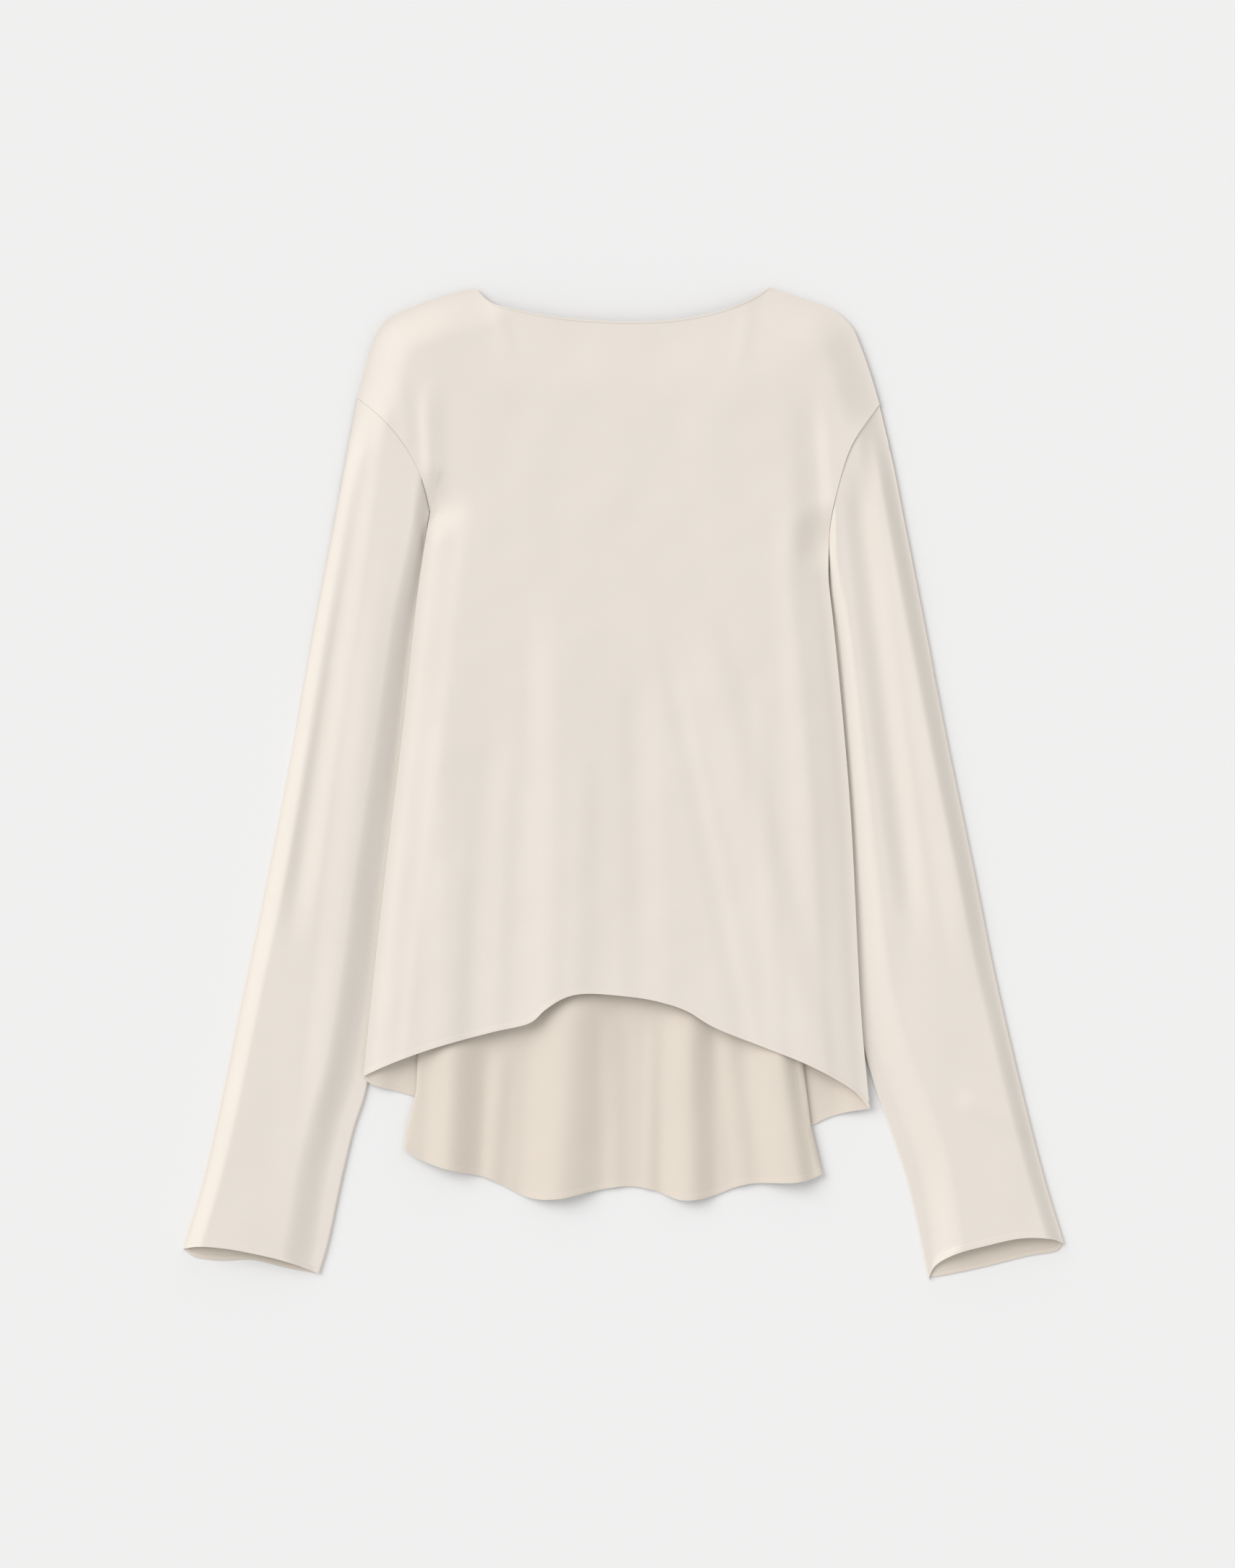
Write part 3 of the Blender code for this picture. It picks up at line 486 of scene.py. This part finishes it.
def crumple(plan, seed):
    """Small waves of the cloth, longer down the garment than across it."""
    chance = np.random.default_rng(seed)
    total = np.zeros(plan.shape[:-1])
    for _ in range(CRUMPLES):
        wave = chance.uniform(*CRUMPLE_LENGTHS)
        turn = chance.normal(0.0, CRUMPLE_TURN)
        direction = np.array([np.cos(turn), np.sin(turn)]) * 2 * np.pi / wave
        phase = chance.uniform(*CRUMPLE_PHASES)
        total += np.sin(plan @ direction + phase) * wave * CRUMPLE_HEIGHT
    return total


def turned_edge(reach):
    """Relief of a narrow turned edge at each distance from it, with the dent of its stitch line."""
    step = HEM_HEIGHT * (1.0 - smooth((reach - HEM_WIDTH + 0.4) / 0.8))
    dent = 0.22 * np.exp(-((reach - STITCH_LINE) / 0.55) ** 2)
    return step - dent


def reach_from(plan, row):
    return np.linalg.norm(plan - plan[row], axis=-1)


# ---------------------------------------------------------------- meshes

def as_piece(name, points, faces, slot, material):
    mesh = bpy.data.meshes.new(name)
    mesh.from_pydata(((np.asarray(points) - CENTRE) * MM).tolist(), [], faces)
    work = bmesh.new()
    work.from_mesh(mesh)
    bmesh.ops.recalc_face_normals(work, faces=work.faces)
    work.to_mesh(mesh)
    work.free()
    mesh.shade_smooth()
    mesh.set_sharp_from_angle(angle=1.2)
    mesh.materials.append(material)
    piece = bpy.data.objects.new(name, mesh)
    bpy.context.scene.collection.objects.link(piece)
    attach(piece, "root")
    return piece


def wall(over, under, ring=False):
    """Points and faces of one closed wall between two grids of points."""
    rows, columns = over.shape[:2]
    points = np.vstack([over.reshape(-1, 3), under.reshape(-1, 3)])
    count = rows * columns
    spans = columns if ring else columns - 1
    faces = []
    for row in range(rows - 1):
        for column in range(spans):
            after = (column + 1) % columns
            corners = [row * columns + column, row * columns + after,
                       (row + 1) * columns + after, (row + 1) * columns + column]
            faces.append(corners)
            faces.append([corner + count for corner in reversed(corners)])
    rims = [[(row * columns + k, row * columns + (k + 1) % columns) for k in range(spans)]
            for row in (0, rows - 1)]
    if not ring:
        rims += [[(k * columns + column, (k + 1) * columns + column) for k in range(rows - 1)]
                 for column in (0, columns - 1)]
    for rim in rims:
        faces += [[a, b, b + count, a + count] for a, b in rim]
    return points, faces


def cloth_area(over, ring=False):
    """Area of a grid of points in square metres."""
    grid = np.concatenate([over, over[:, :1]], axis=1) if ring else over
    across = grid[:-1, 1:] - grid[:-1, :-1]
    along = grid[1:, :-1] - grid[:-1, :-1]
    return float(np.linalg.norm(np.cross(across, along), axis=-1).sum()) * MM * MM


# ---------------------------------------------------------------- materials

class Value:
    """A shader socket that takes part in Python sums."""

    def __init__(self, nodes, socket):
        self.nodes = nodes
        self.socket = socket

    def math(self, operation, other, flipped=False):
        pair = (other, self) if flipped else (self, other)
        return self.nodes.add("ShaderNodeMath", {"operation": operation}, {0: pair[0], 1: pair[1]})

    def __add__(self, other):
        return self.math("ADD", other)

    def __sub__(self, other):
        return self.math("SUBTRACT", other)

    def __mul__(self, other):
        return self.math("MULTIPLY", other)

    def __rsub__(self, other):
        return self.math("SUBTRACT", other, flipped=True)

    __radd__ = __add__
    __rmul__ = __mul__


class Nodes:
    """The node tree of one material."""

    def __init__(self, name):
        self.material = bpy.data.materials.new(name)
        self.material.use_nodes = True
        self.tree = self.material.node_tree
        self.shader = self.tree.nodes["Principled BSDF"]

    def add(self, kind, settings, values, output=0):
        node = self.tree.nodes.new(kind)
        for key, value in settings.items():
            setattr(node, key, value)
        for key, value in values.items():
            self.feed(node.inputs[key], value)
        return Value(self, node.outputs[output])

    def feed(self, socket, value):
        if isinstance(value, Value):
            self.tree.links.new(value.socket, socket)
        else:
            socket.default_value = value


def silk(name, colour, shade, roughness, weave_height):
    """Silk crepe with a fine slanted weave, a soft sheen and a faint change of colour."""
    nodes = Nodes(name)
    place = nodes.add("ShaderNodeTexCoord", {}, {}, "Object")
    turned = nodes.add("ShaderNodeMapping", {}, {"Vector": place, "Rotation": (0.0, 0.0, 0.75)})
    twill = nodes.add("ShaderNodeTexWave", {"wave_type": "BANDS", "bands_direction": "X"},
                      {"Vector": turned, "Scale": 205.0, "Distortion": 2.2, "Detail": 2.0,
                       "Detail Scale": 3.0},
                      "Fac")
    grain = nodes.add("ShaderNodeTexNoise", {}, {"Vector": place, "Scale": 900.0, "Detail": 3.0}, "Fac")
    clouds = nodes.add("ShaderNodeTexNoise", {}, {"Vector": place, "Scale": 9.0, "Detail": 4.0}, "Fac")
    patches = nodes.add("ShaderNodeTexNoise", {}, {"Vector": place, "Scale": 55.0, "Detail": 2.0}, "Fac")
    amount = clouds * 0.55 + patches * 0.2 + twill * patches * 0.3
    tone = nodes.add("ShaderNodeMix", {"data_type": "RGBA"}, {0: amount, 6: colour, 7: shade}, 2)
    nodes.feed(nodes.shader.inputs["Base Color"], tone)
    nodes.feed(nodes.shader.inputs["Roughness"], patches * 0.12 + (roughness - 0.06))
    bump = nodes.add("ShaderNodeBump", {}, {"Height": twill * weave_height + grain * 0.4,
                                            "Strength": 0.16, "Distance": 0.0002})
    nodes.feed(nodes.shader.inputs["Normal"], bump)
    nodes.shader.inputs["Sheen Weight"].default_value = 0.12
    nodes.shader.inputs["Sheen Roughness"].default_value = 0.4
    nodes.shader.inputs["Specular IOR Level"].default_value = 0.32
    return nodes.material


def thread(name, colour):
    nodes = Nodes(name)
    place = nodes.add("ShaderNodeTexCoord", {}, {}, "Object")
    twist = nodes.add("ShaderNodeTexNoise", {}, {"Vector": place, "Scale": 2500.0, "Detail": 1.0}, "Fac")
    darker = tuple(part * 0.86 for part in colour[:3]) + (1.0,)
    tone = nodes.add("ShaderNodeMix", {"data_type": "RGBA"}, {0: twist, 6: colour, 7: darker}, 2)
    nodes.feed(nodes.shader.inputs["Base Color"], tone)
    nodes.shader.inputs["Roughness"].default_value = 0.5
    return nodes.material


def two_faced(piece, over_count, inside_material_painted_shade, over_is_outside):
    """Gives the faces on the wearer's side their own material, whose darker colour is painted shade."""
    piece.data.materials.append(inside_material_painted_shade)
    for face in piece.data.polygons:
        on_over = all(corner < over_count for corner in face.vertices)
        face.material_index = int(on_over != over_is_outside)


# ---------------------------------------------------------------- stitches

RUN_REACH = 0.3  # a stitch's direction is taken this far before and after its middle


def seam_points(line, pitch):
    """Places and directions every pitch along a line of points."""
    steps = np.linalg.norm(np.diff(line, axis=0), axis=1)
    reach = np.concatenate([[0.0], np.cumsum(steps)])
    places = np.arange(pitch / 2, reach[-1], pitch)
    centre = np.stack([np.interp(places, reach, line[:, k]) for k in range(3)], -1)
    ahead = np.stack([np.interp(places + RUN_REACH, reach, line[:, k]) for k in range(3)], -1)
    behind = np.stack([np.interp(places - RUN_REACH, reach, line[:, k]) for k in range(3)], -1)
    run = ahead - behind
    return centre, run / np.maximum(np.linalg.norm(run, axis=1)[:, None], 1e-6)


def stitches(name, lines, slot, material, pitch):
    """Rows of stitches: one small grain of thread, copied along each line and joined."""
    bpy.ops.object.select_all(action="DESELECT")
    bpy.ops.mesh.primitive_uv_sphere_add(segments=6, ring_count=4, radius=1.0)
    grain = bpy.context.active_object
    shape = np.array([vertex.co for vertex in grain.data.vertices])
    # Sorted, because Blender lists a new sphere's faces in an order that changes from run to run.
    sides = sorted(list(face.vertices) for face in grain.data.polygons)
    bpy.data.objects.remove(grain, do_unlink=True)
    points, faces = [], []
    for line in lines:
        centre, run = seam_points(np.asarray(line), pitch)
        for place, ahead in zip(centre, run):
            across = np.cross((0.0, 0.0, 1.0), ahead)
            across /= np.linalg.norm(across)
            up = np.cross(ahead, across)
            start = len(points) * len(shape)
            points.append(place + shape[:, :1] * ahead * pitch * 0.38 + shape[:, 1:2] * across * 0.16
                          + shape[:, 2:] * up * 0.13)
            faces += [[start + corner for corner in side] for side in sides]
    return as_piece(name, np.vstack(points), faces, slot, material)


def along_grid(over, columns, reach, offset):
    """A line at a fixed distance from a grid's first row, lying on the surface."""
    line = []
    for column in columns:
        heights = [np.interp(offset, reach[:, column], over[:, column, k]) for k in range(3)]
        line.append(heights)
    return np.array(line)


# ---------------------------------------------------------------- pieces

MORE_FRONT_FOLDS = (Fold(-150.0, 296.0, -146.0, 214.0, 7.0, 7.0, 1.4),
                    Fold(-168.0, 300.0, -163.0, 262.0, 8.0, 8.0, 0.9),
                    Fold(-30.0, 20.0, -34.0, -160.0, 12.0, 14.0, 1.0),
                    Fold(-78.0, 10.0, -84.0, -180.0, 12.0, 12.0, -0.9),
                    Fold(34.0, 100.0, 92.0, -190.0, 13.0, 12.0, -1.5),
                    Fold(104.0, 60.0, 118.0, -200.0, 12.0, 12.0, 1.0),
                    Fold(-172.0, -60.0, -178.0, -200.0, 9.0, 10.0, 0.8),
                    Fold(60.0, 300.0, 84.0, 160.0, 26.0, 26.0, 0.7),
                    Fold(-60.0, 320.0, -70.0, 190.0, 24.0, 26.0, 0.6),
                    Fold(-100.0, 372.0, -88.0, 330.0, 9.0, 11.0, 0.8),
                    Fold(98.0, 372.0, 90.0, 326.0, 10.0, 10.0, 0.8))
MORE_TAIL_FOLDS = (Fold(-92.0, -205.0, -100.0, -304.0, 10.0, 12.0, 1.6),
                   Fold(-8.0, -175.0, -6.0, -308.0, 12.0, 12.0, 1.2),
                   Fold(80.0, -190.0, 92.0, -308.0, 11.0, 13.0, 1.6),
                   Fold(24.0, -180.0, 20.0, -310.0, 9.0, 10.0, 1.2))


def slack(plan, seed):
    """Room for small waves: none at the edges that are sewn or pressed on another layer."""
    seams = [curve.distance(plan) for curve in (*SHOULDERS.values(), *SIDES.values())]
    return crumple(plan, seed) * smooth(np.min(seams, axis=0) / 22.0)


def make_front(outside, inside):
    plan = front_plan()
    seams = [curve.distance(plan) for curve in (*SHOULDERS.values(), *SIDES.values())]
    freedom = smooth(np.min(seams, axis=0) / BODY_SLOPE)
    more = freedom * MORE_FRONT_SHARE * fold_height(plan, MORE_FRONT_FOLDS)
    under = front_underside(plan) + WALL - CLOTH + more + slack(plan, 3)
    hem = reach_from(plan, 0)
    neck_reach = reach_from(plan, -1)
    on_neck = smooth((NECK_RIGHT[0] - np.abs(plan[..., 0])) / 3.0)
    neck = 0.3 * (1.0 - smooth((neck_reach - 1.2) / 0.8)) * on_neck
    relief = turned_edge(hem) + neck
    over = np.dstack([plan, under + CLOTH + relief])
    lower = np.dstack([plan, under])
    piece = as_piece("blouse_front", *wall(over, lower), "front", outside)
    # The front's underside gets the inside colour: painted shade that darkens the light bounced under its
    # hem.
    two_faced(piece, over[..., 0].size, inside, True)
    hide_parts("front")
    cloth_area(over)
    columns = range(3, over.shape[1] - 3)
    neck_columns = range(SHOULDER_COLUMNS + 1, SHOULDER_COLUMNS + NECK_COLUMNS)
    upside = over[::-1]
    neck_line = along_grid(upside, neck_columns, neck_reach[::-1], 1.5)
    return [along_grid(over, columns, hem, STITCH_LINE)], [neck_line]


def make_back(outside, inside):
    cloth = back_plan()
    side = np.where(cloth[..., 0] < 0, -1, 1)
    paths = [pleated(k, k * cloth[..., 0], cloth[..., 1]) for k in (-1, 1)]
    outwards, height, slope, on_tail = (np.where(side < 0, one, other) for one, other in zip(*paths))
    plan = np.dstack([side * outwards, cloth[..., 1]])
    ridges = np.maximum(TAIL_SHARE * fold_height(plan, TAIL_FOLDS) + fold_height(plan, MORE_TAIL_FOLDS), 0.0)
    waves = (crumple(plan, 8) + 0.3) * smooth((-150.0 - plan[..., 1]) / 40.0)
    rise = side_rise(plan) + np.where(on_tail, ridges + np.maximum(waves, 0.0), 0.0)
    middle = np.dstack([plan, WALL / 2 + height + rise])
    normal = np.dstack([-side * np.sin(slope), np.zeros_like(slope), np.cos(slope)])
    hem = reach_from(plan, 0)
    relief = turned_edge(hem)[..., None]
    over = middle + normal * (CLOTH / 2 + relief)
    under = middle - normal * CLOTH / 2
    piece = as_piece("blouse_back", *wall(over, under), "back", outside)
    # The back's upper faces are its wearer's side, so the tail shows the inside colour with its painted
    # shade.
    two_faced(piece, over[..., 0].size, inside, False)
    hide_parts("back")
    cloth_area(over)
    return [along_grid(over, range(2, over.shape[1] - 2), hem, STITCH_LINE)]


def make_sleeve(side, name, node, outside, inside):
    armhole, outer, inner, upper_cuff, lower_cuff = sleeve_edges(side)
    upper = coons(armhole, upper_cuff, outer, inner)
    lower = coons(armhole, lower_cuff, outer, inner)[:, ::-2]
    lift = sleeve_lift(side, upper)
    waves = crumple(upper, 20 + side) * smooth(lift / 5.0) * smooth(reach_from(upper, 0) / 30.0)
    cuff = reach_from(upper, -1)
    lower_cuff_reach = reach_from(lower, -1)
    bend = WALL + SEAM_GAP / 2
    top = 2 * WALL + SEAM_GAP + lift + waves
    relief = turned_edge(cuff) * smooth(lift / 0.6)
    skins = []
    for depth in (0.0, CLOTH):
        radius = bend - depth
        ends = []
        for end, after, signs in ((-1, -2, 1), (0, 1, -1)):
            away = upper[:, end] - upper[:, after]
            away /= np.linalg.norm(away, axis=1)[:, None]
            for angle in BEND_ANGLES[::signs]:
                plan = upper[:, end] + away * radius * np.cos(angle)
                ends.append(np.column_stack([plan, np.full(len(plan), bend + radius * np.sin(angle))]))
        over = np.dstack([upper, top - depth + (relief if depth == 0.0 else 0.0)])
        inside_relief = turned_edge(lower_cuff_reach) if depth else 0.0
        under = np.dstack([lower, np.full(lower.shape[:2], depth) + inside_relief])
        count = len(BEND_ANGLES)
        skins.append(np.hstack([over, np.stack(ends[:count], 1), under, np.stack(ends[count:], 1)]))
    piece = as_piece(name, *wall(*skins, ring=True), node, outside)
    # The sleeve's inner skin gets the inside colour: painted shade seen inside the cuffs.
    two_faced(piece, skins[0][..., 0].size, inside, True)
    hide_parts(node)
    cloth_area(skins[0], ring=True)
    columns = range(2, upper.shape[1] - 2)
    top_line = along_grid(skins[0][::-1, :upper.shape[1]], columns, cuff[::-1], STITCH_LINE)
    width = upper.shape[1] + len(BEND_ANGLES)
    inner_grid = skins[1][::-1, width:width + lower.shape[1]]
    inside_line = along_grid(inner_grid, range(2, lower.shape[1] - 2), lower_cuff_reach[::-1], STITCH_LINE)
    return [top_line, inside_line + [0.0, 0.0, 0.05]]


# ---------------------------------------------------------------- add-on

SOFTBOX_PLACE = (-2.1, 1.5, 2.1)
SOFTBOX_WIDTH = 44.0  # degrees that the softbox fills, seen from the blouse

class BlouseColours(bpy.types.PropertyGroup):
    """Colours of the cloth and thread."""

    silk: FloatVectorProperty(name="Silk", description="Colour of the cloth", subtype="COLOR", size=4,
                              min=0.0, max=1.0, default=(0.835, 0.775, 0.705, 1.0))
    shade: FloatVectorProperty(name="Silk in the hollows of the weave",
                               description="Darker tone of the cloth",
                               subtype="COLOR", size=4, min=0.0, max=1.0, default=(0.79, 0.725, 0.65, 1.0))
    # The inside's colour is darker and warmer than the silk's: painted shade and painted warm bounce light,
    # seen on the tail, under the front's hem and inside the cuffs.
    inside: FloatVectorProperty(name="Inside", description="Colour of the cloth's matte side",
                                subtype="COLOR",
                                size=4, min=0.0, max=1.0, default=(0.765, 0.69, 0.60, 1.0))
    thread: FloatVectorProperty(name="Thread", description="Colour of the stitches", subtype="COLOR", size=4,
                                min=0.0, max=1.0, default=(0.83, 0.74, 0.66, 1.0))


class BlouseSizes(bpy.types.PropertyGroup):
    """Sizes that a user may change."""

    stitch: FloatProperty(name="Stitch pitch", description="Distance from one stitch to the next, in mm",
                          default=2.0, min=1.0, max=6.0)
    light: FloatProperty(name="Light", description="Strength of the far softbox", default=1.5, min=0.1)
    sky: FloatProperty(name="Room light", description="Strength of the light from all round", default=0.685,
                       min=0.0)


def cloths():
    colours = bpy.context.scene.blouse_colours
    outside = silk("silk_outside", tuple(colours.silk), tuple(colours.shade), 0.5, 1.0)
    # The inside material's darker, warmer colour is painted shade; its higher roughness and fainter weave are
    # the cloth's matte side.
    inside = silk("silk_inside_painted_shade", tuple(colours.inside),
                  tuple(part * 0.95 for part in colours.inside[:3]) + (1.0,),
                  0.72, 0.25)
    return outside, inside


class BLOUSE_OT_cloth(bpy.types.Operator):
    """Makes front, back and sleeves with their hems and stitches"""

    bl_idname = "blouse.cloth"
    bl_label = "Cloth"

    def execute(self, context):
        outside, inside = cloths()
        hem, neck = make_front(outside, inside)
        tail = make_back(outside, inside)
        left = make_sleeve(-1, "blouse_sleeve_left", "sleeve_left", outside, inside)
        right = make_sleeve(1, "blouse_sleeve_right", "sleeve_right", outside, inside)
        colour = thread("thread_ivory", tuple(context.scene.blouse_colours.thread))
        pitch = context.scene.blouse_sizes.stitch
        stitches("stitches_front_hem", hem, "front", colour, pitch)
        stitches("stitches_neck", neck, "front", colour, pitch)
        stitches("stitches_back_hem", tail, "back", colour, pitch)
        stitches("stitches_cuff_left", left, "sleeve_left", colour, pitch)
        stitches("stitches_cuff_right", right, "sleeve_right", colour, pitch)
        return {"FINISHED"}


class BLOUSE_OT_stage(bpy.types.Operator):
    """Makes the floor, the light and the camera"""

    bl_idname = "blouse.stage"
    bl_label = "Stage"

    def execute(self, context):
        sizes = context.scene.blouse_sizes
        bpy.ops.object.select_all(action="DESELECT")
        bpy.ops.mesh.primitive_plane_add(size=40.0, location=(0.0, 0.0, -0.0004))
        floor = context.active_object
        floor.name = "floor"
        bpy.ops.object.transform_apply(location=True, scale=True)
        paint = Nodes("floor_paint")
        paint.shader.inputs["Base Color"].default_value = (0.885, 0.885, 0.885, 1.0)
        paint.shader.inputs["Roughness"].default_value = 0.9
        floor.data.materials.append(paint.material)
        world = bpy.data.worlds.new("room")
        world.use_nodes = True
        world.node_tree.nodes["Background"].inputs["Color"].default_value = (1.0, 1.0, 1.0, 1.0)
        world.node_tree.nodes["Background"].inputs["Strength"].default_value = sizes.sky
        context.scene.world = world
        lamp = bpy.data.lights.new("softbox", "SUN")
        lamp.energy = sizes.light
        lamp.angle = np.radians(SOFTBOX_WIDTH)
        lamp.color = (1.0, 0.99, 0.98)
        box = bpy.data.objects.new("softbox", lamp)
        box.rotation_euler = Vector(SOFTBOX_PLACE).to_track_quat("Z", "Y").to_euler()
        context.scene.collection.objects.link(box)
        lens = bpy.data.cameras.new("camera")
        lens.sensor_width = 36.0
        height = 3.4
        lens.lens = 36.0 * height / 1.193
        camera = bpy.data.objects.new("camera", lens)
        camera.location = (-0.0044, -0.0005, height)
        context.scene.collection.objects.link(camera)
        context.scene.camera = camera
        context.scene.view_settings.view_transform = "Standard"
        return {"FINISHED"}


class BLOUSE_PT_panel(bpy.types.Panel):
    """Lists the pieces and the stage"""

    bl_idname = "BLOUSE_PT_panel"
    bl_label = "Silk blouse"
    bl_space_type = "VIEW_3D"
    bl_region_type = "UI"
    bl_category = "Blouse"

    def draw(self, context):
        for group in (context.scene.blouse_colours, context.scene.blouse_sizes):
            for name in group.__annotations__:
                self.layout.prop(group, name)
        self.layout.operator("blouse.cloth")
        self.layout.operator("blouse.stage")


CLASSES = (BlouseColours, BlouseSizes, BLOUSE_OT_cloth, BLOUSE_OT_stage, BLOUSE_PT_panel)


def register():
    for kind in CLASSES:
        bpy.utils.register_class(kind)
    bpy.types.Scene.blouse_colours = PointerProperty(type=BlouseColours)
    bpy.types.Scene.blouse_sizes = PointerProperty(type=BlouseSizes)


def unregister():
    del bpy.types.Scene.blouse_colours
    del bpy.types.Scene.blouse_sizes
    for kind in reversed(CLASSES):
        bpy.utils.unregister_class(kind)


def main():
    register()
    bpy.ops.blouse.stage()
    bpy.ops.blouse.cloth()


if __name__ == "__main__":
    main()
